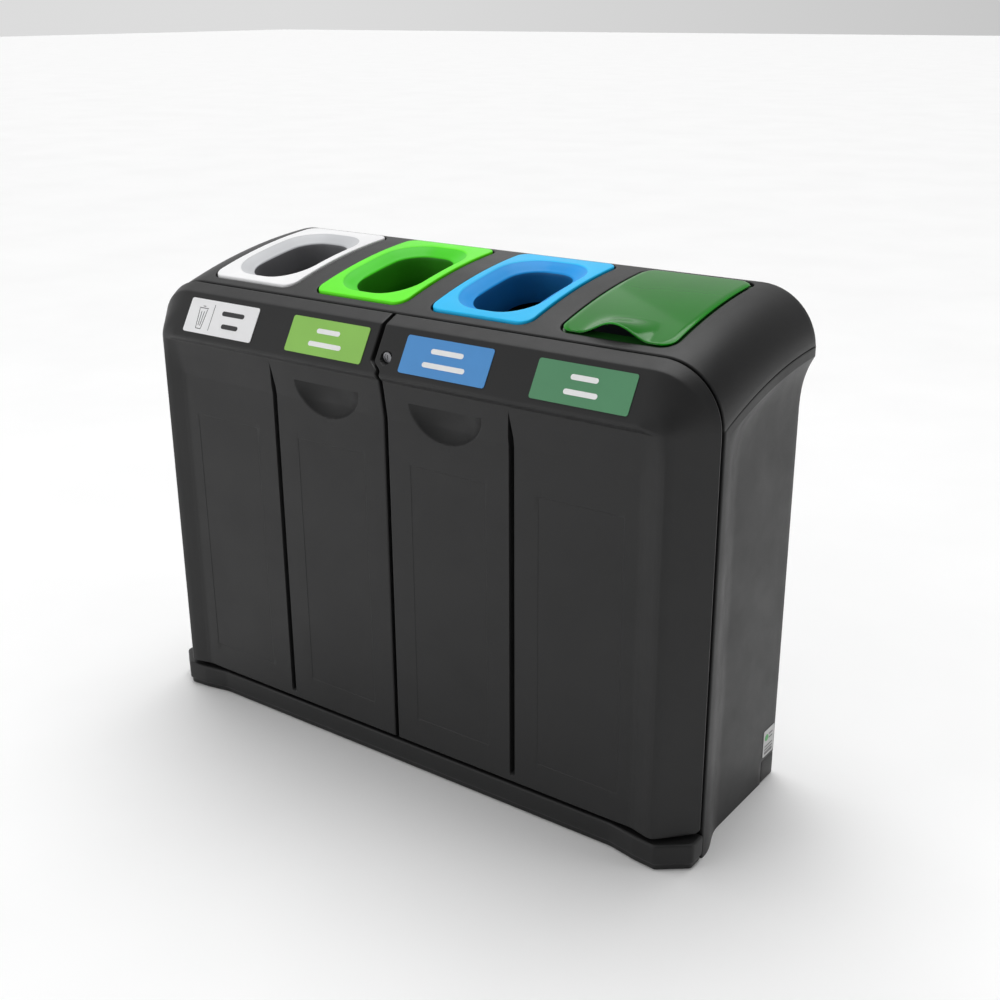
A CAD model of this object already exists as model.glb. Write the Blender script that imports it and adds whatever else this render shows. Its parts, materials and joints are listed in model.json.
"""Looks of the four-bin recycling station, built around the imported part.

Lengths in this script are millimetres unless a name ends in _m. MM turns metres into them.
"""
import json
import math

import bmesh
import bpy
import numpy as np
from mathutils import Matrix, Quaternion, Vector
from mathutils.geometry import tessellate_polygon


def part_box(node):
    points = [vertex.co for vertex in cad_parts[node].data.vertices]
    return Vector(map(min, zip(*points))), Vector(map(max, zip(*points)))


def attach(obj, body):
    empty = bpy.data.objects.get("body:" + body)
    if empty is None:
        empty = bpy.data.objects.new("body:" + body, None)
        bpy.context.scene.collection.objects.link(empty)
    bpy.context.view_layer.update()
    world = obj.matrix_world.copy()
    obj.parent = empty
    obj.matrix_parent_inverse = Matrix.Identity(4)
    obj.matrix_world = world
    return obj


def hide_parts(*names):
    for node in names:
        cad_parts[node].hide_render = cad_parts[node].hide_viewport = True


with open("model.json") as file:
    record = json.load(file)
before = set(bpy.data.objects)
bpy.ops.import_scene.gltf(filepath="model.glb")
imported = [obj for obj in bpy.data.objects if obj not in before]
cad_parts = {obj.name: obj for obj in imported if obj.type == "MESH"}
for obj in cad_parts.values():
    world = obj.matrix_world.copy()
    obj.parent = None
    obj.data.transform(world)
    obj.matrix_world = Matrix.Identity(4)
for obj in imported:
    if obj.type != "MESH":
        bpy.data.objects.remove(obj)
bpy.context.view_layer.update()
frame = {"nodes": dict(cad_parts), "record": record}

MM = 1000.0
MERGE_M, SLIVER_M = 0.00003, 0.00002


# ---- sizes read from the frame

def node_box(node):
    """Lowest and highest corner of a CAD node."""
    low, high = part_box(node)
    return Vector(low) * MM, Vector(high) * MM


hood_low, hood_high = node_box("top_hood")
door_low, door_high = node_box("right_door_shell")
side_low = node_box("right_side_panel")[0]
base_low, base_high = node_box("base_plinth")
lime_low, lime_high = node_box("lime_aperture")
blue_low, blue_high = node_box("blue_aperture")
flap_low, flap_high = node_box("food_flap")
barrel_low, barrel_high = node_box("lock_barrel")
rod_low, rod_high = node_box("flap_hinge_rod")

HALF = hood_high.x
BACK_Y = hood_high.y
HOOD_FRONT = hood_low.y
CREST_Z = hood_high.z
SEAM_Z = door_high.z
NOSE_Y = door_low.y
DOOR_BACK = door_high.y
DOOR_LOW = door_low.z
PITCH = ((blue_low.x + blue_high.x) - (lime_low.x + lime_high.x)) / 2
BAYS = [PITCH * place for place in (-1.5, -0.5, 0.5, 1.5)]
FLAP_BAY = BAYS[3]

# driving dimensions of the mouldings
CORNER = 110.0
CROWN_RISE = 13.3
SEAM_GAP = 1.5
FREE_EDGE = 4.0
BAND_GAP = 9.0
BAND_EDGE_RIGHT = door_low.x
BAND_EDGE_LEFT = BAND_GAP - BAND_EDGE_RIGHT
DOOR_LIP = DOOR_BACK - 2.5
HOOD_EDGE = HOOD_FRONT + 3.2
JOG_LOW, JOG_HIGH = SEAM_Z - 91, SEAM_Z - 72
PANEL_Y = NOSE_Y + 21
NOSE_Z = SEAM_Z - 96
RIDGE_X, RIDGE_Y = HALF - 59, NOSE_Y + 11
STRIP_DOWN, STRIP_Y = 13.0, DOOR_BACK - 33.2
GROOVE_HALF, GROOVE_DEPTH = 6.0, 13.0
GROOVE_LOW, GROOVE_FULL, GROOVE_TIP = DOOR_LOW + 12, SEAM_Z - 165, SEAM_Z - 117
PULL_HALF, PULL_TOP, PULL_HEIGHT, PULL_DEPTH = 82.0, SEAM_Z - 142, 65.0, 26.0
DECAL_HALF, DECAL_TOP, DECAL_LOW, DECAL_STEP = 86.0, SEAM_Z - 262, DOOR_LOW + 60, 0.7
LOCK_GAP, LOCK_DEPTH = 1.2, 3.5
CREASE, SOFT_CREASE, SOFT_RIDGE = 3.0, 5.0, 9.0
SHOULDER_SLOPE = 0.3
DOOR_ROUND, FOOT_CORNER = 3.0, 11.0
SHELL = 3.0

INSERT_HALF_X = (lime_high.x - lime_low.x) / 2
INSERT_FRONT, INSERT_BACK = lime_low.y, lime_high.y
INSERT_MID_Y = (INSERT_FRONT + INSERT_BACK) / 2
INSERT_HALF_Y = (INSERT_BACK - INSERT_FRONT) / 2
INSERT_CORNER = 25.0
INSERT_GAP = 3.6
PROUD = 3.0
MOUTH_Y = 40.0


# ---- curves of the outside

def crown_circle():
    """Centre and radius of the hood's top in the y-z plane."""
    run, climb = BACK_Y - HOOD_FRONT, CREST_Z - SEAM_Z
    chord = math.hypot(run, climb)
    radius = (chord * chord / 4 + CROWN_RISE * CROWN_RISE) / (2 * CROWN_RISE)
    drop = radius - CROWN_RISE
    mid_y, mid_z = (HOOD_FRONT + BACK_Y) / 2, (SEAM_Z + CREST_Z) / 2
    return mid_y + drop * climb / chord, mid_z - drop * run / chord, radius


CROWN_Y, CROWN_Z, CROWN_RADIUS = crown_circle()


def crown(y):
    """Height of the hood's top at depth y."""
    return CROWN_Z + np.sqrt(CROWN_RADIUS ** 2 - (np.asarray(y, float) - CROWN_Y) ** 2)


def seam_circle():
    """Circle through three points of the seam between hood and side panels."""
    (ay, az), (by, bz), (cy, cz) = ((side_low.y, SEAM_Z - 105.5), (45.0, SEAM_Z - 53.5),
                                    (BACK_Y, SEAM_Z - 35.0))
    d = 2 * (ay * (bz - cz) + by * (cz - az) + cy * (az - bz))
    a2, b2, c2 = ay * ay + az * az, by * by + bz * bz, cy * cy + cz * cz
    uy = (a2 * (bz - cz) + b2 * (cz - az) + c2 * (az - bz)) / d
    uz = (a2 * (cy - by) + b2 * (ay - cy) + c2 * (by - ay)) / d
    return uy, uz, math.hypot(ay - uy, az - uz)


SEAM_CY, SEAM_CZ, SEAM_RADIUS = seam_circle()


def seam(y):
    """Height of the seam between hood and side panels at depth y."""
    return SEAM_CZ + np.sqrt(SEAM_RADIUS ** 2 - (np.asarray(y, float) - SEAM_CY) ** 2)


def smooth_max(a, b, k):
    """Larger of two, blended over a width k."""
    h = np.clip(0.5 + 0.5 * (a - b) / k, 0, 1)
    return b + (a - b) * h + k * h * (1 - h)


def step(low, high, value):
    """Smooth step from 0 to 1."""
    t = np.clip((value - low) / (high - low), 0, 1)
    return t * t * (3 - 2 * t)


# ---- mesh helpers

def linked(name, data):
    """New object in the scene."""
    obj = bpy.data.objects.new(name, data)
    bpy.context.scene.collection.objects.link(obj)
    return obj


class Skin:
    """Vertices in millimetres and faces of one piece, gathered patch by patch."""

    def __init__(self):
        self.points = []
        self.faces = []

    def grid(self, points, closed=False, keep=None):
        """Quads over an array of rows x columns x 3; keep(centre) may drop some."""
        points = np.asarray(points, float)
        rows, columns = points.shape[:2]
        first = len(self.points)
        self.points.extend(points.reshape(-1, 3))
        last = columns if closed else columns - 1
        for r in range(rows - 1):
            for c in range(last):
                d = (c + 1) % columns
                if keep is not None:
                    centre = (points[r, c] + points[r, d] + points[r + 1, c] + points[r + 1, d]) / 4
                    if not keep(centre):
                        continue
                a, b = first + r * columns + c, first + r * columns + d
                self.faces.append((a, b, b + columns, a + columns))

    def cap(self, loop):
        """Flat triangles that fill a loop of points, hollow corners included."""
        first = len(self.points)
        self.points.extend(np.asarray(loop, float))
        for triangle in tessellate_polygon([[Vector(point) for point in loop]]):
            self.faces.append(tuple(first + i for i in triangle))

    def mirrored(self):
        """The same skin on the other side of the cabinet."""
        other = Skin()
        other.points = [np.array([-p[0], p[1], p[2]]) for p in self.points]
        other.faces = [tuple(reversed(face)) for face in self.faces]
        return other


def piece(name, skin, body, look, towards=None, wall=0.0, rim=0.0, replaces=(), crease=38,
          close_to=None, zones=()):
    """Make an object from a skin: merge, orient, thicken, round the rims, and tie it to a body.

    Open edges are drawn back to the depth close_to. Each zone is (finish, test): faces whose
    centre passes the test get that finish instead.
    """
    mesh = bpy.data.meshes.new(name)
    mesh.from_pydata([tuple(np.asarray(p) / MM) for p in skin.points], [], skin.faces)
    work = bmesh.new()
    work.from_mesh(mesh)
    bmesh.ops.remove_doubles(work, verts=work.verts, dist=MERGE_M)
    bmesh.ops.dissolve_degenerate(work, edges=work.edges, dist=SLIVER_M)
    loose = [v for v in work.verts if not v.link_faces]
    bmesh.ops.delete(work, geom=loose, context="VERTS")
    if close_to is not None:
        rim_edges = [e for e in work.edges if len(e.link_faces) == 1]
        made = bmesh.ops.extrude_edge_only(work, edges=rim_edges)["geom"]
        for v in made:
            if isinstance(v, bmesh.types.BMVert):
                v.co.y = close_to / MM
        bmesh.ops.dissolve_degenerate(work, edges=work.edges, dist=SLIVER_M)
    bmesh.ops.recalc_face_normals(work, faces=work.faces)
    if towards is not None:
        lean = sum((f.normal * f.calc_area() for f in work.faces), Vector()).dot(Vector(towards))
        if lean < 0:
            bmesh.ops.reverse_faces(work, faces=work.faces)
    work.to_mesh(mesh)
    work.free()
    obj = linked(name, mesh)
    mesh.materials.append(look)
    for index, (finish, test) in enumerate(zones, start=1):
        mesh.materials.append(finish)
        for face in mesh.polygons:
            if test(face.center * MM):
                face.material_index = index
    mesh.shade_smooth()
    mesh.set_sharp_from_angle(angle=math.radians(crease))
    if wall:
        solid = obj.modifiers.new("wall", "SOLIDIFY")
        solid.thickness = wall / MM
        solid.offset = -1
        solid.use_quality_normals = True
    if rim:
        bevel = obj.modifiers.new("rim", "BEVEL")
        bevel.width = rim / MM
        bevel.segments = 2
        bevel.limit_method = "ANGLE"
        bevel.angle_limit = math.radians(55)
    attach(obj, body)
    if replaces:
        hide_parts(*replaces)
    return obj


def outline(cx, cy, half_x, half_y, radius, arc=10, side_x=8, side_y=12):
    """Level rounded rectangle; calls with the same counts match point for point."""
    points = []
    for quarter, (sx, sy) in enumerate(((1, 1), (-1, 1), (-1, -1), (1, -1))):
        ox, oy = cx + sx * (half_x - radius), cy + sy * (half_y - radius)
        for i in range(arc + 1):
            angle = math.pi / 2 * (quarter + i / arc)
            points.append((ox + radius * math.cos(angle), oy + radius * math.sin(angle)))
        start = np.array(points[-1])
        if quarter % 2 == 0:
            along, end = side_x, np.array((2 * cx - ox, start[1]))
        else:
            along, end = side_y, np.array((start[0], 2 * cy - oy))
        for i in range(1, along):
            points.append(tuple(start + (end - start) * i / along))
    return np.array(points)


def raised(loop, above):
    """Points of a level outline laid on the hood's crown, raised by above."""
    return np.column_stack([loop, crown(loop[:, 1]) + above])


def level(loop, height):
    """Points of a level outline at one height."""
    return np.column_stack([loop, np.full(len(loop), height)])


def middle(low, high):
    return (low + high) / 2


def tube(skin, centre, radius, length, inner, sides=28):
    """Tube along x with slightly broken edges."""
    half, soft = length / 2, min(0.6, radius / 6)
    section = [(inner, -half), (radius - soft, -half), (radius, -half + soft),
               (radius, half - soft), (radius - soft, half), (inner, half), (inner, -half)]
    rings = []
    for r, along in section:
        angles = [2 * math.pi * i / sides for i in range(sides)]
        rings.append([np.array(centre) + (along, r * math.cos(a), r * math.sin(a)) for a in angles])
    skin.grid(rings, closed=True)


# ---- materials

def fill(node, values):
    """Set a node's inputs by name."""
    for name, value in values.items():
        node.inputs[name].default_value = value


class Nodes:
    """Shorthand for building a material's node tree."""

    def __init__(self, name):
        self.material = bpy.data.materials.new(name)
        self.material.use_nodes = True
        self.tree = self.material.node_tree
        self.shader = self.tree.nodes["Principled BSDF"]
        self.place = self.add("ShaderNodeTexCoord").outputs["Object"]

    def add(self, kind, **values):
        node = self.tree.nodes.new(kind)
        for key, value in values.items():
            setattr(node, key, value)
        return node

    def link(self, source, target):
        self.tree.links.new(source, target)

    def noise(self, scale, detail=3.0, rough=0.55, stretch=None):
        place = self.place
        if stretch:
            mapping = self.add("ShaderNodeMapping")
            fill(mapping, {"Scale": stretch})
            self.link(place, mapping.inputs["Vector"])
            place = mapping.outputs["Vector"]
        node = self.add("ShaderNodeTexNoise")
        fill(node, {"Scale": scale, "Detail": detail, "Roughness": rough})
        self.link(place, node.inputs["Vector"])
        return node.outputs["Fac"]

    def ramp(self, source, low, high, out_low, out_high):
        node = self.add("ShaderNodeMapRange")
        fill(node, {"From Min": low, "From Max": high, "To Min": out_low, "To Max": out_high})
        self.link(source, node.inputs["Value"])
        return node.outputs["Result"]

    def times(self, a, b):
        node = self.add("ShaderNodeMath", operation="MULTIPLY")
        self.link(a, node.inputs[0])
        self.link(b, node.inputs[1])
        return node.outputs["Value"]

    def mix(self, factor, a, b):
        """Colour mix; a and b are sockets or colours."""
        node = self.add("ShaderNodeMix", data_type="RGBA")
        self.link(factor, node.inputs["Factor"])
        for value, socket in ((a, node.inputs[6]), (b, node.inputs[7])):
            if isinstance(value, tuple):
                socket.default_value = (*value, 1)
            else:
                self.link(value, socket)
        return node.outputs[2]

    def bump(self, layers):
        """Stack of (height socket, depth in metres)."""
        normal = None
        for height, depth in layers:
            node = self.add("ShaderNodeBump")
            fill(node, {"Distance": depth, "Strength": 1.0})
            self.link(height, node.inputs["Height"])
            if normal is not None:
                self.link(normal, node.inputs["Normal"])
            normal = node.outputs["Normal"]
        self.link(normal, self.shader.inputs["Normal"])

    def edges(self, low=0.53, high=0.62):
        """Factor that is 1 on convex edges."""
        return self.ramp(self.add("ShaderNodeNewGeometry").outputs["Pointiness"], low, high, 0, 1)


def shade(colour, factor):
    """The colour made lighter or darker."""
    return tuple(min(1.0, c * factor) for c in colour)


def moulded(name, colour, rough, grain=0.00006, wear=0.35, scuff=0.1, specular=0.5, pale=None):
    """Moulded plastic: fine grain, uneven gloss, rubbed edges and faint handling marks.

    grain is the depth of the surface grain in metres; pale is the colour of rubbed places.
    """
    n = Nodes(name)
    fine = n.noise(1400, 2.0)
    pebble = n.noise(350, 3.0)
    cloud = n.noise(5.0, 4.0, 0.6)
    marks = n.noise(26.0, 5.0, 0.7, stretch=(1.0, 1.0, 0.12))
    body = n.mix(n.ramp(cloud, 0.3, 0.7, 0, 1), shade(colour, 0.93), shade(colour, 1.07))
    rubbed = n.times(n.edges(), n.ramp(n.noise(60.0, 4.0), 0.35, 0.7, 0, wear))
    body = n.mix(rubbed, body, pale or shade(colour, 1.8))
    scratched = n.ramp(marks, 0.62, 0.78, 0, scuff)
    body = n.mix(scratched, body, pale or shade(colour, 1.6))
    n.link(body, n.shader.inputs["Base Color"])
    gloss = n.ramp(n.noise(9.0, 5.0, 0.65), 0.3, 0.7, rough - 0.05, rough + 0.06)
    n.link(gloss, n.shader.inputs["Roughness"])
    fill(n.shader, {"Specular IOR Level": specular})
    n.bump([(pebble, grain * 1.6), (fine, grain)])
    return n.material


def sheet_metal(name, colour, rough, metallic=1.0, brush=(1.0, 1.0, 1.0)):
    """Plated or powder-coated steel; brush stretches its grain along an axis."""
    n = Nodes(name)
    grain = n.noise(900.0, 2.0, 0.5, stretch=brush)
    patch = n.noise(30.0, 4.0, 0.6)
    body = n.mix(n.ramp(patch, 0.3, 0.7, 0, 1), shade(colour, 0.86), shade(colour, 1.1))
    body = n.mix(n.times(n.edges(), n.ramp(patch, 0.4, 0.6, 0, 0.3)), body, shade(colour, 1.7))
    n.link(body, n.shader.inputs["Base Color"])
    n.link(n.ramp(grain, 0.2, 0.8, rough - 0.1, rough + 0.12), n.shader.inputs["Roughness"])
    fill(n.shader, {"Metallic": metallic})
    n.bump([(grain, 0.00003)])
    return n.material


def rubbery(name, colour):
    """Matt rubber with a faint bloom."""
    n = Nodes(name)
    fine = n.noise(2000.0, 2.0)
    bloom = n.noise(18.0, 5.0, 0.65)
    n.link(n.mix(n.ramp(bloom, 0.45, 0.75, 0, 0.4), colour, shade(colour, 2.4)),
           n.shader.inputs["Base Color"])
    n.link(n.ramp(bloom, 0.2, 0.8, 0.7, 0.92), n.shader.inputs["Roughness"])
    n.bump([(fine, 0.00005)])
    return n.material


def label_stock(name, colour):
    """Satin self-adhesive film with a slight ripple."""
    n = Nodes(name)
    ripple = n.noise(70.0, 2.0, 0.4)
    fine = n.noise(1800.0, 2.0)
    cloud = n.noise(12.0, 3.0)
    body = n.mix(n.ramp(cloud, 0.3, 0.7, 0, 1), shade(colour, 0.97), shade(colour, 1.03))
    n.link(body, n.shader.inputs["Base Color"])
    n.link(n.ramp(ripple, 0.2, 0.8, 0.33, 0.45), n.shader.inputs["Roughness"])
    n.bump([(ripple, 0.00006), (fine, 0.00001)])
    return n.material


def glossy(name, colour, deep):
    """Polished plastic lid, clouded between two tones, with dust and orange peel."""
    n = Nodes(name)
    peel = n.noise(160.0, 2.0, 0.4)
    dust = n.noise(700.0, 3.0, 0.7)
    cloud = n.noise(7.0, 4.0)
    body = n.mix(n.ramp(cloud, 0.3, 0.7, 0, 1), colour, deep)
    body = n.mix(n.edges(0.52, 0.58), body, shade(colour, 2.2))
    n.link(body, n.shader.inputs["Base Color"])
    n.link(n.ramp(dust, 0.3, 0.8, 0.09, 0.19), n.shader.inputs["Roughness"])
    fill(n.shader, {"Coat Weight": 0.1, "Specular IOR Level": 0.2, "Coat Roughness": 0.04})
    n.bump([(peel, 0.00002)])
    return n.material


HOOD_BLACK, PANEL_BLACK = (0.0105, 0.0105, 0.0108), (0.0115, 0.0115, 0.0118)
SMOOTH_GRAIN = 0.00003
INSERT_FINISH = {"grain": SMOOTH_GRAIN, "wear": 0.25, "scuff": 0.04, "specular": 0.22}
LOOKS = {
    "hood_plastic": moulded("hood_plastic", HOOD_BLACK, 0.42, wear=0.4, specular=0.33),
    "panel_plastic": moulded("panel_plastic", PANEL_BLACK, 0.44, wear=0.4, specular=0.34),
    "inner_plastic": moulded("inner_plastic", (0.04, 0.041, 0.044), 0.55, grain=0.00004),
    "frame_steel": sheet_metal("frame_steel", (0.05, 0.05, 0.054), 0.5, metallic=0.0),
    "knuckle_plastic": moulded("knuckle_plastic", (0.03, 0.03, 0.032), 0.5),
    "bright_steel": sheet_metal("bright_steel", (0.62, 0.62, 0.6), 0.34, brush=(1, 1, 0.1)),
    "lock_chrome": sheet_metal("lock_chrome", (0.2, 0.2, 0.21), 0.32, brush=(1, 0.1, 1)),
    "white_plastic": moulded("white_plastic", (0.93, 0.93, 0.94), 0.34, wear=0.2, scuff=0.05,
                             pale=(0.95, 0.95, 0.95), grain=SMOOTH_GRAIN),
    "lime_plastic": moulded("lime_plastic", (0.13, 0.93, 0.006), 0.36, pale=(0.3, 0.85, 0.15),
                            **INSERT_FINISH),
    "blue_plastic": moulded("blue_plastic", (0.006, 0.52, 0.96), 0.36, pale=(0.2, 0.5, 0.9),
                            **INSERT_FINISH),
    "food_frame_plastic": moulded("food_frame_plastic", (0.012, 0.075, 0.012), 0.4),
    "flap_green": glossy("flap_green", (0.003, 0.19, 0.002), (0.002, 0.16, 0.001)),
    "liner_plastic": moulded("liner_plastic", (0.06, 0.06, 0.065), 0.5, grain=0.00005),
    "rubber": rubbery("rubber", (0.018, 0.018, 0.018)),
}
LABELS = {"label_white": (0.84, 0.84, 0.85), "label_lime": (0.26, 0.55, 0.09),
          "label_blue": (0.065, 0.275, 0.63), "label_green": (0.076, 0.254, 0.122),
          "badge_white": (0.5, 0.5, 0.5)}
LOOKS.update({name: label_stock(name, colour) for name, colour in LABELS.items()})
# inside each mouth the plastic is in shade: one finish for the funnel and one for the chute
FUNNEL_FINISH = {"grain": SMOOTH_GRAIN, "specular": 0.25}
FUNNELS = {
    "white_plastic": moulded("white_funnel", (0.6, 0.61, 0.63), 0.4, grain=SMOOTH_GRAIN),
    "lime_plastic": moulded("lime_funnel", (0.06, 0.72, 0.003), 0.4, **FUNNEL_FINISH),
    "blue_plastic": moulded("blue_funnel", (0.001, 0.33, 0.84), 0.4, **FUNNEL_FINISH),
}
CHUTES = {
    "white_plastic": moulded("white_chute", (0.2, 0.2, 0.21), 0.55),
    "lime_plastic": moulded("lime_chute", (0.03, 0.3, 0.001), 0.55),
    "blue_plastic": moulded("blue_chute", (0.001, 0.15, 0.4), 0.55),
}
INK_DARK = label_stock("ink_dark", (0.02, 0.02, 0.022))
INK_WHITE = label_stock("ink_white", (0.86, 0.86, 0.86))
INK_GREEN = label_stock("ink_green", (0.05, 0.35, 0.08))
INK_GREY = label_stock("ink_grey", (0.12, 0.12, 0.12))


def dress_cad_nodes():
    """Give every carried-over CAD node the finish of its material slot."""
    for part in frame["record"]["subparts"]:
        obj = frame["nodes"][part["node"]]
        obj.data.materials.clear()
        obj.data.materials.append(LOOKS[part["material_slot"]])


# ---- doors

def smooth_edges(distance, radius):
    """How far a surface drops away within radius of its rounded edge."""
    inside = np.clip(radius - distance, 0, radius)
    return radius - np.sqrt(radius * radius - inside * inside)


def door_bulk(x, z):
    """Front of the right door before anything is sunk into it: band, strip, chamfer, shoulder."""
    cx, cz = HALF - CORNER, SEAM_Z - CORNER
    dx, dz = np.maximum(x - cx, 0), np.maximum(z - cz, 0)
    reach = np.hypot(dx, dz)
    depth = CORNER - reach
    turn = np.where(reach > 0, np.arctan2(dz, np.maximum(dx, 1e-9)), 0) / (math.pi / 2)
    lip = DOOR_LIP - 1.5
    strip_slope = (lip - STRIP_Y) / STRIP_DOWN
    band_slope = (STRIP_Y - NOSE_Y) / (SEAM_Z - STRIP_DOWN - NOSE_Z)
    top = smooth_max(lip - strip_slope * depth, STRIP_Y - band_slope * (depth - STRIP_DOWN),
                     CREASE)
    top = smooth_max(top, NOSE_Y, CREASE)
    side_slope = (lip - RIDGE_Y) / (HALF - RIDGE_X)
    shoulder = RIDGE_Y - SHOULDER_SLOPE * (depth - HALF + RIDGE_X)
    side = smooth_max(lip - side_slope * depth, shoulder, SOFT_RIDGE)
    side = smooth_max(side, NOSE_Y, SOFT_CREASE)
    share = step(0.02, 0.98, turn)
    share = np.where((dx <= 0) & (dz > 0), 1.0, np.where(dz <= 0, 0.0, share))
    top_only = (dx <= 0) & (dz <= 0)
    return np.where(top_only, NOSE_Y, (1 - share) * side + share * top)


def door_recess(x, z):
    """Depth of the recessed face below the label band, which rises to the band and the flank."""
    rise = np.interp(z, [SEAM_Z - 182, SEAM_Z - 138, SEAM_Z - 109, SEAM_Z - 95.5, SEAM_Z - 80],
                     [0, 6, 11, 23, 62])
    far = HALF - CORNER
    flank = np.interp(x, [far - 1, far + 9, far + 22, far + 35, far + 45, far + 57, far + 97],
                      [0, 1.9, 5.3, 8.4, 10, 18, 62])
    return PANEL_Y - np.hypot(rise, flank)


def door_front(x, z, edge_x):
    """Front surface of the right-hand door; edge_x is the free edge at each height."""
    front = smooth_max(door_bulk(x, z), door_recess(x, z), SOFT_CREASE)
    # groove between the two bins
    half = groove_half(z)
    across = np.abs(x - PITCH) / half
    ends = step(GROOVE_LOW, GROOVE_LOW + 9, z) * np.sqrt(np.clip(half / GROOVE_HALF, 0, 1))
    within = (z > GROOVE_LOW) & (z < GROOVE_TIP)
    front = front + np.where(within, GROOVE_DEPTH * ends * (1 - step(0.5, 1.0, across)), 0)
    # half-moon finger pull
    ring = np.hypot((x - PITCH / 2) / PULL_HALF, (PULL_TOP - z) / PULL_HEIGHT)
    scoop = np.clip(1 - ring ** 2.2, 0, 1) ** 0.85
    front = front + np.where(z < PULL_TOP, PULL_DEPTH * scoop, 0)
    # shallow fields for stickers
    for bay in BAYS[2:]:
        field = step(-0.5, 0.5, DECAL_HALF - np.abs(x - bay))
        field = field * step(-0.5, 0.5, DECAL_TOP - z) * step(-0.5, 0.5, z - DECAL_LOW)
        front = front + DECAL_STEP * field
    front = front + smooth_edges(x - edge_x, DOOR_ROUND) + smooth_edges(z - DOOR_LOW, DOOR_ROUND)
    return np.minimum(front, DOOR_LIP - 0.5)


def groove_half(z):
    """Half width of the groove: full below, tapering to a point above."""
    taper = np.clip((GROOVE_TIP - np.asarray(z, float)) / (GROOVE_TIP - GROOVE_FULL), 0.03, 1)
    return GROOVE_HALF * taper


def spaced(low, high, pitch):
    """Evenly spaced values from low up to, not including, high."""
    count = max(1, round((high - low) / pitch))
    return [low + (high - low) * i / count for i in range(count)]


def astride(edge):
    """Two values close to either side of a small step in the surface."""
    return [edge - 0.6, edge + 0.6]


def door_columns():
    """Column positions from the free edge to the shoulder, fine where the surface is busy."""
    bay1, bay2 = BAYS[2:]
    e = FREE_EDGE
    xs = [e, e + 0.3, e + 0.9, e + 1.8, e + 3] + spaced(e + 4, e + 42, 1.5)
    xs += spaced(e + 42, bay1 - DECAL_HALF - 1, 3) + astride(bay1 - DECAL_HALF)
    xs += spaced(bay1 - PULL_HALF, bay1 + PULL_HALF, 2.4) + [bay1 + PULL_HALF]
    xs += astride(bay1 + DECAL_HALF) + spaced(bay1 + 92, PITCH - 20, 9)
    groove = [20, 14, 10, 7.5, 6.6, 6, 5.4, 4.6, 3.8, 3, 1.5]
    xs += [PITCH - g for g in groove] + [PITCH] + [PITCH + g for g in groove]
    xs += spaced(PITCH + 28, bay2 - DECAL_HALF - 2, 9) + astride(bay2 - DECAL_HALF)
    xs += spaced(bay2 - DECAL_HALF + 8, bay2 + DECAL_HALF - 4, 14) + astride(bay2 + DECAL_HALF)
    xs += spaced(bay2 + DECAL_HALF + 5, HALF - CORNER, 5) + [HALF - CORNER]
    return np.array(sorted(xs))


def depth_lines():
    """Distances in from the rounded outline, 0 at the outline, CORNER at the shoulder's centre."""
    fine = [0, 0.8, 2, 4, 7, 10, 12, 13, 14.2, 16, 19, 24, 30, 37, 44]
    for low, high in ((50, 58), (58, 94), (94, CORNER)):
        fine += spaced(low, high, 1.5)
    return np.array(fine + [CORNER])


def door_rows():
    """Row heights from the bottom edge to the level of the shoulder's centre."""
    zs = [DOOR_LOW + z for z in (0, 0.3, 0.9, 1.8, 3, 5, 8, 10)]
    zs += spaced(GROOVE_LOW, GROOVE_LOW + 12, 2)
    zs += spaced(GROOVE_LOW + 12, DECAL_LOW - 4, 14) + astride(DECAL_LOW)
    zs += spaced(DECAL_LOW + 20, DECAL_TOP - 2, 30) + astride(DECAL_TOP)
    zs += spaced(DECAL_TOP + 12, PULL_TOP - PULL_HEIGHT - 2, 12)
    zs += spaced(PULL_TOP - PULL_HEIGHT - 1, PULL_TOP - 1, 2) + [PULL_TOP - 0.3, PULL_TOP + 0.3]
    zs += spaced(PULL_TOP + 3, SEAM_Z - CORNER, 2.5) + [SEAM_Z - CORNER]
    return np.array(sorted(zs))


def free_edge(z, band_edge):
    """Free edge of a door: it steps aside beside the lock."""
    return FREE_EDGE + (band_edge - FREE_EDGE) * step(JOG_LOW, JOG_HIGH, z)


def warp_columns(x, z, band_edge):
    """Slide columns so that they follow the free edge and the groove's taper."""
    edge = free_edge(z, band_edge)
    zone = FREE_EDGE + 52
    x = np.where(x < zone, edge + (x - FREE_EDGE) * (zone - edge) / (zone - FREE_EDGE), x)
    off = x - PITCH
    room, half = 20.0, groove_half(z)
    inner = off * half / GROOVE_HALF
    beyond = (np.abs(off) - GROOVE_HALF) * (room - half) / (room - GROOVE_HALF)
    outer = np.sign(off) * (half + beyond)
    moved = np.where(np.abs(off) <= GROOVE_HALF, inner, outer)
    near = (np.abs(off) < room) & (z < GROOVE_TIP + 8)
    return np.where(near, PITCH + moved, x)


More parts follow.
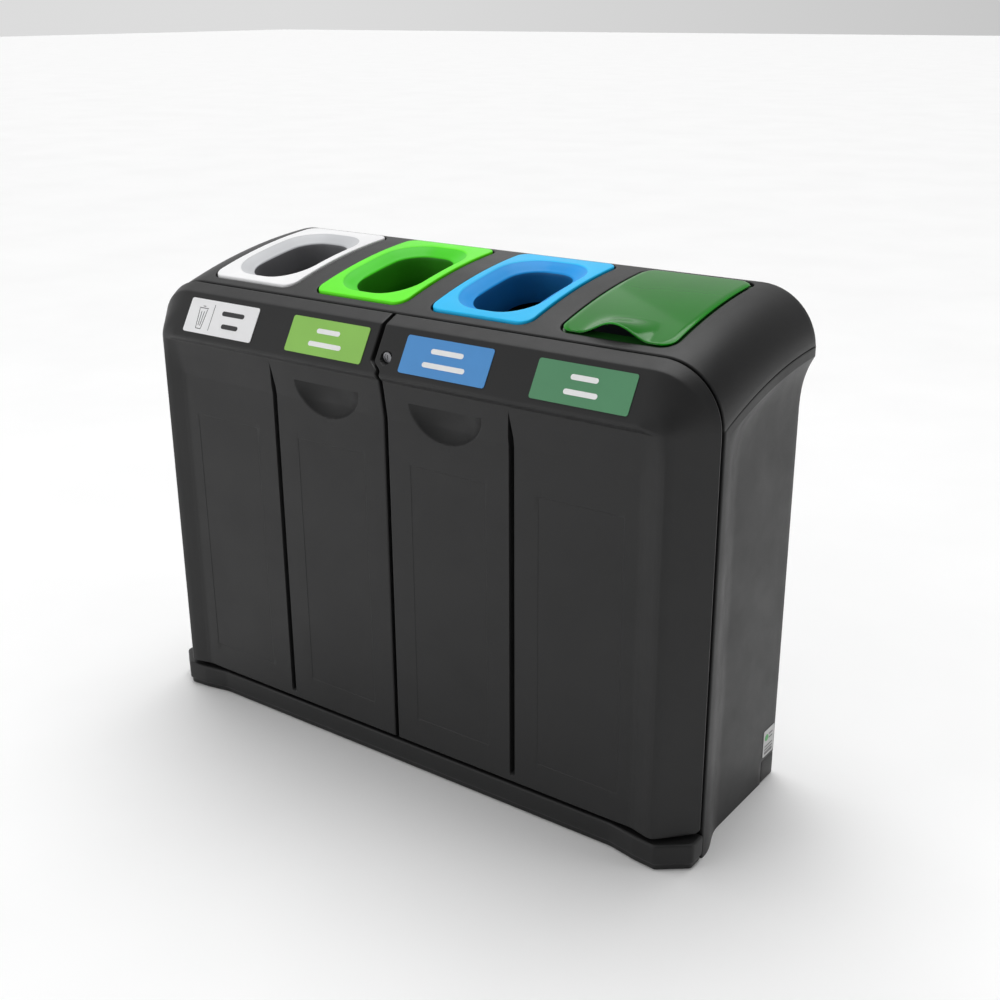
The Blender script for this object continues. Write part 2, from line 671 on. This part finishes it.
def door_skin(band_edge, with_lock):
    """Front skin of the right-hand door, as four patches that meet at the shoulder's centre."""
    columns, rows, lines = door_columns(), door_rows(), depth_lines()
    lock_x, _, lock_z = middle(barrel_low, barrel_high)
    hole = (barrel_high.x - barrel_low.x) / 2 + LOCK_GAP
    floor = barrel_low.y + LOCK_DEPTH

    def surface(x, z):
        y = door_front(x, z, free_edge(z, band_edge))
        if with_lock:
            off = np.hypot(x - lock_x, z - lock_z)
            pull_in = np.abs(off - hole) < 1.0
            scale = np.where(pull_in, hole / np.maximum(off, 1e-6), 1)
            x = lock_x + (x - lock_x) * scale
            z = lock_z + (z - lock_z) * scale
            y = np.where(off < hole + 1.0, np.maximum(y, floor), y)
        return np.stack([x, y, z], axis=-1)

    skin = Skin()
    x, z = np.meshgrid(columns, rows)
    skin.grid(surface(warp_columns(x, z, band_edge), z))
    x, z = np.meshgrid(columns, SEAM_Z - lines)
    skin.grid(surface(warp_columns(x, z, band_edge), z))
    x, z = np.meshgrid(HALF - lines, rows)
    tuck = smooth_edges(z - DOOR_LOW, FOOT_CORNER)
    skin.grid(surface(x - tuck * (x - HALF + CORNER) / CORNER, z))
    turn, depth = np.meshgrid(np.linspace(0, math.pi / 2, 25), lines)
    x = HALF - CORNER + (CORNER - depth) * np.cos(turn)
    z = SEAM_Z - CORNER + (CORNER - depth) * np.sin(turn)
    skin.grid(surface(x, z))
    return skin


def make_doors():
    """Both door skins; the lock is in the right-hand one."""
    right = door_skin(BAND_EDGE_RIGHT, True)
    left = door_skin(BAND_EDGE_LEFT, False).mirrored()
    for side, skin in (("right", right), ("left", left)):
        piece(side + "_door_skin", skin, side + "_door", LOOKS["panel_plastic"],
              (0, -1, 0), SHELL, replaces=(side + "_door_shell",), close_to=DOOR_LIP, crease=30)


# ---- hood

HOOD_WALL = 4.0
EDGE_ROUND, BACK_ROUND = 2.5, 14.0
FLANGE = 28.0
BACK_LIP_X = HALF - 45
LEDGE_DOWN, LEDGE_WIDTH = 10.2, 8.0
LEDGE_END_Y = 160.0
SHOULDER_X = HALF - CORNER
CELL_EDGE = 2 * PITCH
SHOULDER_START = math.asin((CELL_EDGE - SHOULDER_X) / CORNER)


def arch_point(place, y, inset=0.0):
    """Point of the hood's section at depth y: place is an x, or 'left'/'right' with a share."""
    top = float(crown(y))
    if isinstance(place, tuple):
        side, share = place
        last = math.acos(np.clip((float(seam(y)) - top + CORNER) / (CORNER - inset), -1, 1))
        angle = SHOULDER_START + (last - SHOULDER_START) * share
    else:
        side = math.copysign(1, place)
        if abs(place) <= SHOULDER_X:
            return (place, y, top - inset)
        angle = math.asin((abs(place) - SHOULDER_X) / CORNER)
    radius = CORNER - inset
    x = side * (SHOULDER_X + radius * math.sin(angle))
    return (x, y, top - CORNER + radius * math.cos(angle))


def cell_points(bay, half_x, half_y, corner, low_y, high_y):
    """Points on the rectangle round a hole, one for each point of the hole's outline."""
    mid, edge = INSERT_MID_Y, PITCH / 2
    result = []
    for x, y in outline(bay, mid, half_x, half_y, corner):
        u, v = x - bay, y - mid
        over_x, over_y = abs(u) - (half_x - corner), abs(v) - (half_y - corner)
        far_y = high_y if v > 0 else low_y
        if over_x <= 1e-6:
            result.append((x, far_y))
        elif over_y <= 1e-6:
            result.append((bay + math.copysign(edge, u), y))
        else:
            ox, oy = half_x - corner, mid + math.copysign(half_y - corner, v)
            if over_y <= over_x:
                result.append((bay + math.copysign(edge, u), oy + (far_y - oy) * over_y / over_x))
            else:
                result.append((bay + math.copysign(ox + (edge - ox) * over_x / over_y, u), far_y))
    return np.array(result)


def on_hood(points, down=0.0):
    """Lay level points on the hood's top, lowered by down."""
    over = np.clip(np.abs(points[:, 0]) - SHOULDER_X, 0, CORNER)
    drop = CORNER - np.sqrt(CORNER ** 2 - over ** 2)
    return np.column_stack([points, crown(points[:, 1]) - drop - down])


def make_hood():
    """Hood: a cell with a rounded hole for each bay, both shoulders, front flange and back wall."""
    skin = Skin()
    low_y, high_y = HOOD_EDGE + EDGE_ROUND, BACK_Y - BACK_ROUND
    half_x, half_y = INSERT_HALF_X + INSERT_GAP, INSERT_HALF_Y + INSERT_GAP
    corner = INSERT_CORNER + INSERT_GAP
    rows, fronts = set(), set()
    for bay in BAYS:
        def ring(grow):
            return outline(bay, INSERT_MID_Y, half_x + grow, half_y + grow, corner + grow)

        cell = cell_points(bay, half_x, half_y, corner, low_y, high_y)
        lip = ring(EDGE_ROUND)
        rings = [on_hood(cell + (lip - cell) * t) for t in (0, 0.3, 0.6, 0.85, 1.0)]
        for angle in (25, 50, 70, 90):
            a = math.radians(angle)
            grow, down = EDGE_ROUND * (1 - math.sin(a)), EDGE_ROUND * (1 - math.cos(a))
            rings.append(on_hood(ring(grow), down))
        rings.append(on_hood(ring(0), LEDGE_DOWN))
        hinged = bay == FLAP_BAY
        skin.grid(rings, closed=True)
        ledge = [rings[-1], on_hood(ring(-LEDGE_WIDTH), LEDGE_DOWN)]
        skin.grid(ledge, closed=True, keep=lambda c: not (hinged and c[1] > LEDGE_END_Y))
        fronts.update(round(float(x), 4) for x, y in cell if abs(y - low_y) < 1e-6)
        if hinged:
            rows.update(round(float(y), 4) for x, y in cell if abs(x - CELL_EDGE) < 1e-6)
    shares = [i / 14 for i in range(15)]
    for side in (-1, 1):
        skin.grid([[arch_point((side, share), y) for share in shares] for y in sorted(rows)])
    places = [(-1, share) for share in reversed(shares)]
    places += sorted(fronts)[1:-1] + [(1, share) for share in shares]
    front, back = [], []
    for angle in range(0, 91, 18):
        a = math.radians(angle)
        y, inset = low_y - EDGE_ROUND * math.sin(a), EDGE_ROUND * (1 - math.cos(a))
        front.append([arch_point(place, y, inset) for place in places])
        y, inset = high_y + BACK_ROUND * math.sin(a), BACK_ROUND * (1 - math.cos(a))
        back.append([arch_point(place, y, inset) for place in places])
    for behind, inset in ((0, 4.5), (1, 5.5), (6, 6), (6, FLANGE)):
        front.append([arch_point(place, HOOD_EDGE + behind, inset) for place in places])
    skin.grid(front)
    foot = float(seam(BACK_Y))
    turned = back[-1]
    for share in (0.33, 0.66, 1.0):
        back.append([(x, y, z + (foot - z) * share) for x, y, z in turned])
    for behind, down in ((0.8, 1.2), (8, 2), (8, 16)):
        back.append([(max(-BACK_LIP_X, min(BACK_LIP_X, x)), BACK_Y - behind, foot - down)
                     for x, y, z in turned])
    skin.grid(back)
    piece("hood_skin", skin, "cabinet", LOOKS["hood_plastic"], (0, 0, 1), HOOD_WALL,
          rim=0.8, replaces=("top_hood",), crease=35)


# ---- side panels

SIDE_RECESS = 23.0
SIDE_CURVE = 97.0
BAND_DROP, FLARE = 19.0, 108.0
NOTCH_Y, NOTCH_Z = BACK_Y - 64, 50.0
SIDE_MID = 600.0


def side_x(y, z):
    """Outer face of the right side panel."""
    border = 0.5 * (1 + np.cos(math.pi * np.clip((y - side_low.y - 8) / SIDE_CURVE, 0, 1)))
    below = seam(y) - SEAM_GAP - z
    flare = np.clip(1 - (below - BAND_DROP + 1) / FLARE, 0, 1) ** 2.7
    return HALF - SIDE_RECESS * (1 - border) * (1 - flare)


def side_skin():
    """Right side panel, with a wrapped front edge, a rounded rear edge and a notch for the foot."""
    front, back = side_low.y, BACK_Y
    edge = [(0, 24), (0, 10), (0, 3), (0.4, 1.4), (1.2, 0.45), (3, 0)]
    places = [(front + off, inset) for off, inset in edge]
    places += [(y, 0) for y in spaced(front + 6, front + 110, 5)]
    places += [(y, 0) for y in spaced(front + 110, NOTCH_Y, 12)]
    places += [(y, 0) for y in spaced(NOTCH_Y, back - BACK_ROUND - 3, 10)]
    for angle in range(0, 91, 18):
        a = math.radians(angle)
        places.append((back - BACK_ROUND * (1 - math.sin(a)), BACK_ROUND * (1 - math.cos(a))))
    places.append((back, 24))

    def row(height, rim=0.0):
        """Points at the height of each place, set in from the face by its inset or the rim's."""
        heights = [(y, max(inset, rim), height(y)) for y, inset in places]
        return [(side_x(y, z) - inset, y, z) for y, inset, z in heights]

    def under_seam(below):
        return lambda y: float(seam(y)) - SEAM_GAP - below

    low = [0, 0.5, 2, 12, 25, 38, NOTCH_Z, 58, 70, 90, 120] + spaced(160, SIDE_MID, 55)
    rows = [row(lambda y, z=z: z) for z in low + [SIDE_MID]]
    for share in (0.25, 0.5, 0.75):
        rows.append(row(lambda y, s=share: SIDE_MID + (under_seam(150)(y) - SIDE_MID) * s))
    downs = [15, 17, 18, 19, 20.5, 22.5, 25, 28, 32, 37, 43, 50, 58, 68, 80, 95, 112, 132, 150]
    rims = [(0, 12), (0, 1.6), (0.35, 0.6), (1.4, 0), (4, 0), (8, 0), (12, 0)]
    for below, rim in reversed(rims + [(down, 0) for down in downs]):
        rows.append(row(under_seam(below), rim))
    skin = Skin()
    skin.grid(rows, keep=lambda c: not (c[1] > NOTCH_Y and c[2] < NOTCH_Z))
    return skin


def make_sides():
    right = side_skin()
    for side, skin, out in (("right", right, 1), ("left", right.mirrored(), -1)):
        piece(side + "_side_skin", skin, "cabinet", LOOKS["panel_plastic"],
              (out, 0, 0), SHELL, rim=0.8, replaces=(side + "_side_panel",))


# ---- plinth

PLINTH_WALL = 7.0
FOOT_HALF_X = 10.0


def rounded_path(corners, steps=6):
    """Closed path with filleted corners, as points and their outward directions."""
    points = []
    count = len(corners)
    for i in range(count):
        x, y, radius = corners[i]
        before, after = np.array(corners[i - 1][:2]), np.array(corners[(i + 1) % count][:2])
        here = np.array((x, y))
        u, v = before - here, after - here
        lu, lv = np.linalg.norm(u), np.linalg.norm(v)
        u, v = u / lu, v / lv
        half = math.acos(np.clip(u @ v, -1, 1)) / 2
        reach = min(radius / math.tan(half), 0.45 * lu, 0.45 * lv)
        if radius <= 0 or reach < 0.2:
            points.append(here)
            continue
        start, end = here + u * reach, here + v * reach
        for k in range(steps + 1):
            t = k / steps
            points.append((1 - t) ** 2 * start + 2 * t * (1 - t) * here + t * t * end)
    return np.array(points)


def inward(path, inset):
    """The closed path moved square to itself; the path runs anticlockwise."""
    ahead, behind = np.roll(path, -1, axis=0), np.roll(path, 1, axis=0)
    along = ahead - behind
    along = along / np.linalg.norm(along, axis=1)[:, None]
    normal = np.column_stack([-along[:, 1], along[:, 0]])
    return path + normal * inset


def make_plinth():
    """Plinth: a rounded tray turned upside down, and a foot in each side panel's rear notch."""
    front, corner_y = base_low.y + 15, base_low.y
    wide, narrow = base_high.x, base_high.x - 30
    back, seam_y = base_high.y, side_low.y - 2
    right = [(500, front, 60), (556, corner_y + 4, 60), (602, corner_y, 14),
             (wide, corner_y + 43, 14), (wide, seam_y, 8), (narrow, seam_y, 2), (narrow, back, 9)]
    path = rounded_path([(-x, y, r) for x, y, r in reversed(right)] + right)
    if np.sum(path[:, 0] * np.roll(path[:, 1], -1) - np.roll(path[:, 0], -1) * path[:, 1]) < 0:
        path = path[::-1]
    height = base_high.z
    sections = [(6.8, 0.0), (5, 0.6), (4.2, 2), (4, 9), (3, 11), (0.8, 13.5), (0.2, 16),
                (0, 20), (0, height - 6), (0.5, height - 3.4), (1.6, height - 1.6),
                (3.6, height - 0.4), (6, height)]
    skin = Skin()
    loops = [level(inward(path, inset), z) for inset, z in sections]
    skin.grid(loops, closed=True)
    skin.cap(loops[-1])
    inner = inward(path, PLINTH_WALL)
    walls = [loops[0], level(inner, 8), level(inner, height - 8)]
    skin.grid(walls, closed=True)
    skin.cap(walls[-1])
    foot_front = NOTCH_Y + 2
    foot_half_y = (back - foot_front) / 2
    foot_sections = ((1.5, 0), (0.3, 1.2), (0, 3), (0, NOTCH_Z - 4), (0.6, NOTCH_Z - 2.4),
                     (2, NOTCH_Z - 2))
    for side in (-1, 1):
        foot_x = side * (HALF - SIDE_RECESS - FOOT_HALF_X - 0.5)
        foot = []
        for inset, z in foot_sections:
            loop = outline(foot_x, (foot_front + back) / 2, FOOT_HALF_X - inset,
                           foot_half_y - inset, 3.5, 5, 2, 4)
            foot.append(level(loop, z))
        skin.grid(foot, closed=True)
        skin.cap(foot[0])
        skin.cap(foot[-1])
    piece("plinth_skin", skin, "cabinet", LOOKS["panel_plastic"],
          replaces=("base_plinth",), crease=35)


# ---- apertures and flap

MOUTH = np.array((92.0, 125.0, 72.0))
THROAT = np.array((67.0, 103.0, 56.0))
MOUTH_LIP, RIM_ROUND = 4.0, 2.6
THROAT_DROP, CHUTE = 17.0, 56.0
INSERT_WALL = 2.6
FUNNEL_SUNK, CHUTE_SUNK = -0.6, 15.6
TILT = float(crown(MOUTH_Y + 110) - crown(MOUTH_Y - 110)) / 220


def aperture_skin(bay):
    """Drop-in aperture: flat rim, rounded mouth, sloping funnel and a short chute."""
    def rim(inset):
        return outline(bay, INSERT_MID_Y, INSERT_HALF_X - inset, INSERT_HALF_Y - inset,
                       INSERT_CORNER - inset)

    def opening(size, grow=0.0):
        """Outline of half width, half depth and corner radius, all grown."""
        return outline(bay, MOUTH_Y, *(size + grow))

    loops = [raised(rim(0.4), -8.5), raised(rim(0.0), -6), raised(rim(0.0), PROUD - RIM_ROUND)]
    for angle in (25, 50, 75, 90):
        a = math.radians(angle)
        loops.append(raised(rim(RIM_ROUND * (1 - math.cos(a))),
                            PROUD - RIM_ROUND * (1 - math.sin(a))))
    top, edge = rim(RIM_ROUND), opening(MOUTH, MOUTH_LIP)
    for share in (0.3, 0.65, 1.0):
        loops.append(raised(top + (edge - top) * share, PROUD))
    for angle in (15.84, 31.68, 47.52):
        a = math.radians(angle)
        loops.append(raised(opening(MOUTH, MOUTH_LIP - 5.0 * math.sin(a)),
                            PROUD - 5.0 * (1 - math.cos(a))))
    for share in (0.15, 0.35, 0.6, 0.85):
        dip = 1.6 + (THROAT_DROP - 1.6) * (share * 0.82 + 0.18 * share * share)
        loops.append(raised(opening(MOUTH + (THROAT - MOUTH) * share), PROUD - dip))
    for grow, dip in ((0.9, -1.2), (0.3, 0.6), (0.0, 3.5)):
        loops.append(raised(opening(THROAT, grow), PROUD - (THROAT_DROP + dip)))
    for share in (0.08, 0.3, 0.65, 1.0):
        wall = raised(opening(THROAT, -share), PROUD - THROAT_DROP - 3.5 - CHUTE * share)
        wall[:, 1] += CHUTE * share * TILT
        loops.append(wall)
    skin = Skin()
    skin.grid(loops, closed=True)
    return skin


def sunk(point):
    """How far a point lies below the hood's top."""
    return float(crown(point.y)) - point.z


def over_mouth(point):
    """Whether a point lies inside the rim of one of the mouths, seen from above."""
    bay = min(BAYS, key=lambda x: abs(x - point.x))
    return abs(point.x - bay) < MOUTH[0] + 3 and abs(point.y - MOUTH_Y) < MOUTH[1] + 3


def in_funnel(point):
    return over_mouth(point) and sunk(point) > FUNNEL_SUNK


def in_chute(point):
    return over_mouth(point) and sunk(point) > CHUTE_SUNK


def make_apertures():
    for colour, bay in zip(("white", "lime", "blue"), BAYS):
        slot = colour + "_plastic"
        piece(colour + "_funnel", aperture_skin(bay), "cabinet", LOOKS[slot], (0, 0, 1),
              INSERT_WALL, rim=0.7, replaces=(colour + "_aperture",), crease=45,
              zones=((FUNNELS[slot], in_funnel), (CHUTES[slot], in_chute)))


FLAP_WALL, FLAP_EDGE = 3.6, 2.2
LIP_HALF, LIP_LENGTH, LIP_HEIGHT = 68.0, 72.0, 24.0
KNUCKLE_RADIUS, KNUCKLE_LENGTH, KNUCKLE_PITCH = 5.5, 22.0, 84.0


def make_flap():
    """Lid: it follows the crown, with rounded edges and a finger lip at the front."""
    half_x = (flap_high.x - flap_low.x) / 2
    front, back = INSERT_FRONT, flap_high.y

    def lift(x, y):
        """Height of the finger lip: a bell at the front edge that fades towards the middle."""
        bell = math.cos(math.pi / 2 * min(abs(x - FLAP_BAY) / LIP_HALF, 1)) ** 1.7
        fade = 1 - step(front - 8, front + LIP_LENGTH, y)
        return LIP_HEIGHT * bell * fade

    def half_at(y):
        """Half width of the rounded outline at depth y."""
        reach = INSERT_CORNER - min(y - front, back - y, INSERT_CORNER)
        curve = math.sqrt(max(INSERT_CORNER ** 2 - reach * reach, 0))
        return max(half_x - INSERT_CORNER + curve, 1)

    shares = np.unique(np.concatenate([
        np.linspace(-1, -0.6, 8), np.linspace(-0.6, 0.6, 41), np.linspace(0.6, 1, 8)]))
    ys = [0, 0.5, 1.6, 3.5, 6, 9, 12, 16, 20, 25] + list(range(29, 80, 4))
    ys = [front + y for y in ys] + spaced(front + 84, back - 25, 14)
    ys += [back - y for y in (25, 20, 15, 10, 6, 3.5, 1.6, 0.5, 0)]
    rows = []
    for y in ys:
        half, row = half_at(y), []
        for share in shares:
            near = min((1 - abs(share)) * half, y - front, back - y)
            top = PROUD - float(smooth_edges(np.asarray(near), FLAP_EDGE))
            x = FLAP_BAY + share * half
            row.append((x, y, float(crown(y)) + top + lift(x, y)))
        rows.append(row)
    skin = Skin()
    skin.grid(rows)
    piece("flap_lid", skin, "flap", LOOKS["flap_green"], (0, 0, 1), FLAP_WALL,
          rim=0.9, replaces=("food_flap",), crease=50)


def make_flap_knuckles():
    """Knuckles and webs under the lid's back edge, round the hinge rod."""
    skin = Skin()
    _, axis_y, axis_z = middle(rod_low, rod_high)
    bore = (rod_high.z - rod_low.z) / 2 + 0.08
    for x in (FLAP_BAY - KNUCKLE_PITCH, FLAP_BAY, FLAP_BAY + KNUCKLE_PITCH):
        tube(skin, (x, axis_y, axis_z), KNUCKLE_RADIUS, KNUCKLE_LENGTH, bore)
        web = [level(outline(x, axis_y, 10.8, half, 1.0, 3, 2, 2), axis_z + up)
               for up, half in ((4.4, 3.6), (6.6, 3.8))]
        skin.grid(web, closed=True)
        skin.cap(web[0])
        skin.cap(web[1])
    piece("flap_knuckles", skin, "flap", LOOKS["flap_green"])


# ---- label artwork

BAND_RUN, BAND_FALL = STRIP_Y - NOSE_Y, SEAM_Z - STRIP_DOWN - NOSE_Z
BAND_LENGTH = math.hypot(BAND_RUN, BAND_FALL)
BAND_RIGHT = np.array((1.0, 0, 0))
BAND_UP = np.array((0, BAND_RUN / BAND_LENGTH, BAND_FALL / BAND_LENGTH))
BAND_OUT = np.array((0, -BAND_FALL / BAND_LENGTH, BAND_RUN / BAND_LENGTH))
SIDE_RIGHT, SIDE_UP, SIDE_OUT = np.array((0, 1.0, 0)), np.array((0, 0, 1.0)), np.array((1.0, 0, 0))
INK, SUNK = 0.25, 0.2
PLATE = 1.2


def printed(skin, centre, loop, right=BAND_RIGHT, up=BAND_UP, out=BAND_OUT):
    """Thin raised shape: loop is in the plate's plane, right and up from centre on its face."""
    flat = [centre + right * u + up * v for u, v in loop]
    low, high = [spot - out * SUNK for spot in flat], [spot + out * INK for spot in flat]
    skin.grid([low, high], closed=True)
    skin.cap(high)
    skin.cap(low)


def bar(cx, cy, width, height):
    """Bar with round ends, the stand-in for a printed word."""
    return outline(cx, cy, width / 2, height / 2, height / 2 - 0.05, 5, 2, 2)


def stroke(x0, y0, x1, y1, weight):
    """Thin straight line with square ends."""
    along = np.array((x1 - x0, y1 - y0), float)
    along = along / np.linalg.norm(along)
    across = np.array((-along[1], along[0])) * weight / 2
    a, b = np.array((x0, y0)), np.array((x1, y1))
    return [a - across, b - across, b + across, a + across]


def make_labels():
    """Generic marks: two bars in place of the words, and a plain bin sign on the white label."""
    for name, door, (upper, lower), shift, ink in (("white", "left_door", (62, 46), 30, INK_DARK),
                                                   ("lime", "left_door", (58, 82), 0, INK_WHITE),
                                                   ("blue", "right_door", (72, 94), 0, INK_WHITE),
                                                   ("green", "right_door", (54, 66), 0, INK_WHITE)):
        centre = np.array(middle(*node_box(name + "_label"))) + BAND_OUT * PLATE / 2
        skin = Skin()
        printed(skin, centre, bar(shift, 12.5, upper, 9.5))
        printed(skin, centre, bar(shift, -13.5, lower, 9.5))
        if name == "white":
            printed(skin, centre, stroke(-26, -27, -26, 27, 1.1))
            for line in ((-66, 15, -62, -26), (-44, 15, -48, -26), (-62, -26, -48, -26),
                         (-68, 17, -42, 17), (-59, 21, -51, 21), (-58.5, 10, -57.5, -20),
                         (-51.5, 10, -52.5, -20)):
                printed(skin, centre, stroke(*line, 1.3))
        piece(name + "_print", skin, door, ink, crease=40)


def make_badge_marks():
    """Plain generic marks on the small plate at the foot of the right side."""
    low, high = node_box("maker_plate")
    centre = np.array((high.x, *middle(low, high)[1:]))
    wide, tall = high.y - low.y, high.z - low.z
    disc = [bar(-wide * 0.22, tall * 0.2, wide * 0.32, wide * 0.3)]
    lines = [bar(wide * right, tall * up, wide * width, height) for right, up, width, height in
             ((0.16, 0.28, 0.36, 3.2), (0.16, 0.14, 0.36, 3.2), (0, -0.12, 0.74, 3.0),
              (0, -0.24, 0.74, 3.0), (0, -0.37, 0.74, 6.5))]
    for name, loops, ink in (("badge_mark", disc, INK_GREEN), ("badge_lines", lines, INK_GREY)):
        skin = Skin()
        for loop in loops:
            printed(skin, centre, loop, SIDE_RIGHT, SIDE_UP, SIDE_OUT)
        piece(name, skin, "cabinet", ink)


# ---- room, lights and camera

FLOOR_REACH_M, FLOOR_LEVEL_M = 60.0, -0.0005
SKY_LEFT, SKY_RIGHT = 0.72, 0.3


def make_room():
    """Plain pale floor under an even sky that is brighter on the left."""
    far, level_m = FLOOR_REACH_M, FLOOR_LEVEL_M
    mesh = bpy.data.meshes.new("floor")
    corners = [(x, y, level_m) for x, y in ((-far, -far), (far, -far), (far, far), (-far, far))]
    mesh.from_pydata(corners, [], [(0, 1, 2, 3)])
    floor = linked("floor", mesh)
    n = Nodes("floor_paint")
    tone = n.ramp(n.noise(1.5, 3.0), 0.3, 0.7, 0, 1)
    n.link(n.mix(tone, (0.93, 0.93, 0.93), (0.96, 0.96, 0.96)), n.shader.inputs["Base Color"])
    fill(n.shader, {"Roughness": 0.7})
    mesh.materials.append(n.material)
    world = bpy.data.worlds.new("sky")
    bpy.context.scene.world = world
    world.use_nodes = True
    tree = world.node_tree
    sky = tree.nodes["Background"]
    direction = tree.nodes.new("ShaderNodeTexCoord")
    split = tree.nodes.new("ShaderNodeSeparateXYZ")
    ramp = tree.nodes.new("ShaderNodeMapRange")
    tree.links.new(direction.outputs["Generated"], split.inputs["Vector"])
    tree.links.new(split.outputs["X"], ramp.inputs["Value"])
    fill(ramp, {"From Min": -0.7, "From Max": 0.5, "To Min": SKY_LEFT, "To Max": SKY_RIGHT})
    tree.links.new(ramp.outputs["Result"], sky.inputs["Strength"])
    fill(sky, {"Color": (1, 1, 1, 1)})


def make_lights():
    """A wide soft ceiling and three soft panels; places and sizes are in metres, power in watts."""
    sun = bpy.data.lights.new("ceiling", "SUN")
    sun.energy = 1.75
    sun.angle = math.radians(50)
    linked("ceiling", sun).rotation_euler = (math.radians(-14), math.radians(-10), 0)
    for name, place, target, width, height, power in (
            ("right_side", (4.0, 1.2, 1.0), (0.4, 0, 0.4), 1.6, 1.6, 20),
            ("back_panel", (-1.3, 1.9, 2.75), (0.43, 0.04, 0.95), 0.7, 2.6, 2.2),
            ("front_fill", (-2.6, -4.0, 1.8), (0, 0, 0.5), 2.6, 2.2, 24)):
        lamp = bpy.data.lights.new(name, "AREA")
        lamp.shape = "RECTANGLE"
        lamp.size, lamp.size_y = width, height
        lamp.energy = power
        panel = linked(name, lamp)
        panel.location = place
        aim = Vector(target) - Vector(place)
        panel.rotation_euler = aim.to_track_quat("-Z", "Y").to_euler()


LENS_MM, SENSOR_MM = 47.89, 36.0
CAMERA_PLACE_M = (1.5552, -1.9616, 1.4416)
CAMERA_YAW, CAMERA_PITCH, CAMERA_ROLL = 36.291, 20.484, -0.322


def make_camera():
    """Camera at the photograph's viewing angle: pitch is down from level, all in degrees."""
    lens = bpy.data.cameras.new("camera")
    lens.sensor_width = SENSOR_MM
    lens.lens = LENS_MM
    camera = linked("camera", lens)
    camera.location = CAMERA_PLACE_M
    camera.rotation_mode = "QUATERNION"
    yaw = Quaternion((0, 0, 1), math.radians(CAMERA_YAW))
    pitch = Quaternion((1, 0, 0), math.radians(90 - CAMERA_PITCH))
    camera.rotation_quaternion = yaw @ pitch @ Quaternion((0, 0, 1), math.radians(CAMERA_ROLL))
    bpy.context.scene.camera = camera


dress_cad_nodes()
make_doors()
make_hood()
make_sides()
make_plinth()
make_apertures()
make_flap()
make_flap_knuckles()
make_labels()
make_badge_marks()
make_room()
make_lights()
make_camera()
bpy.context.scene.view_settings.view_transform = "Standard"
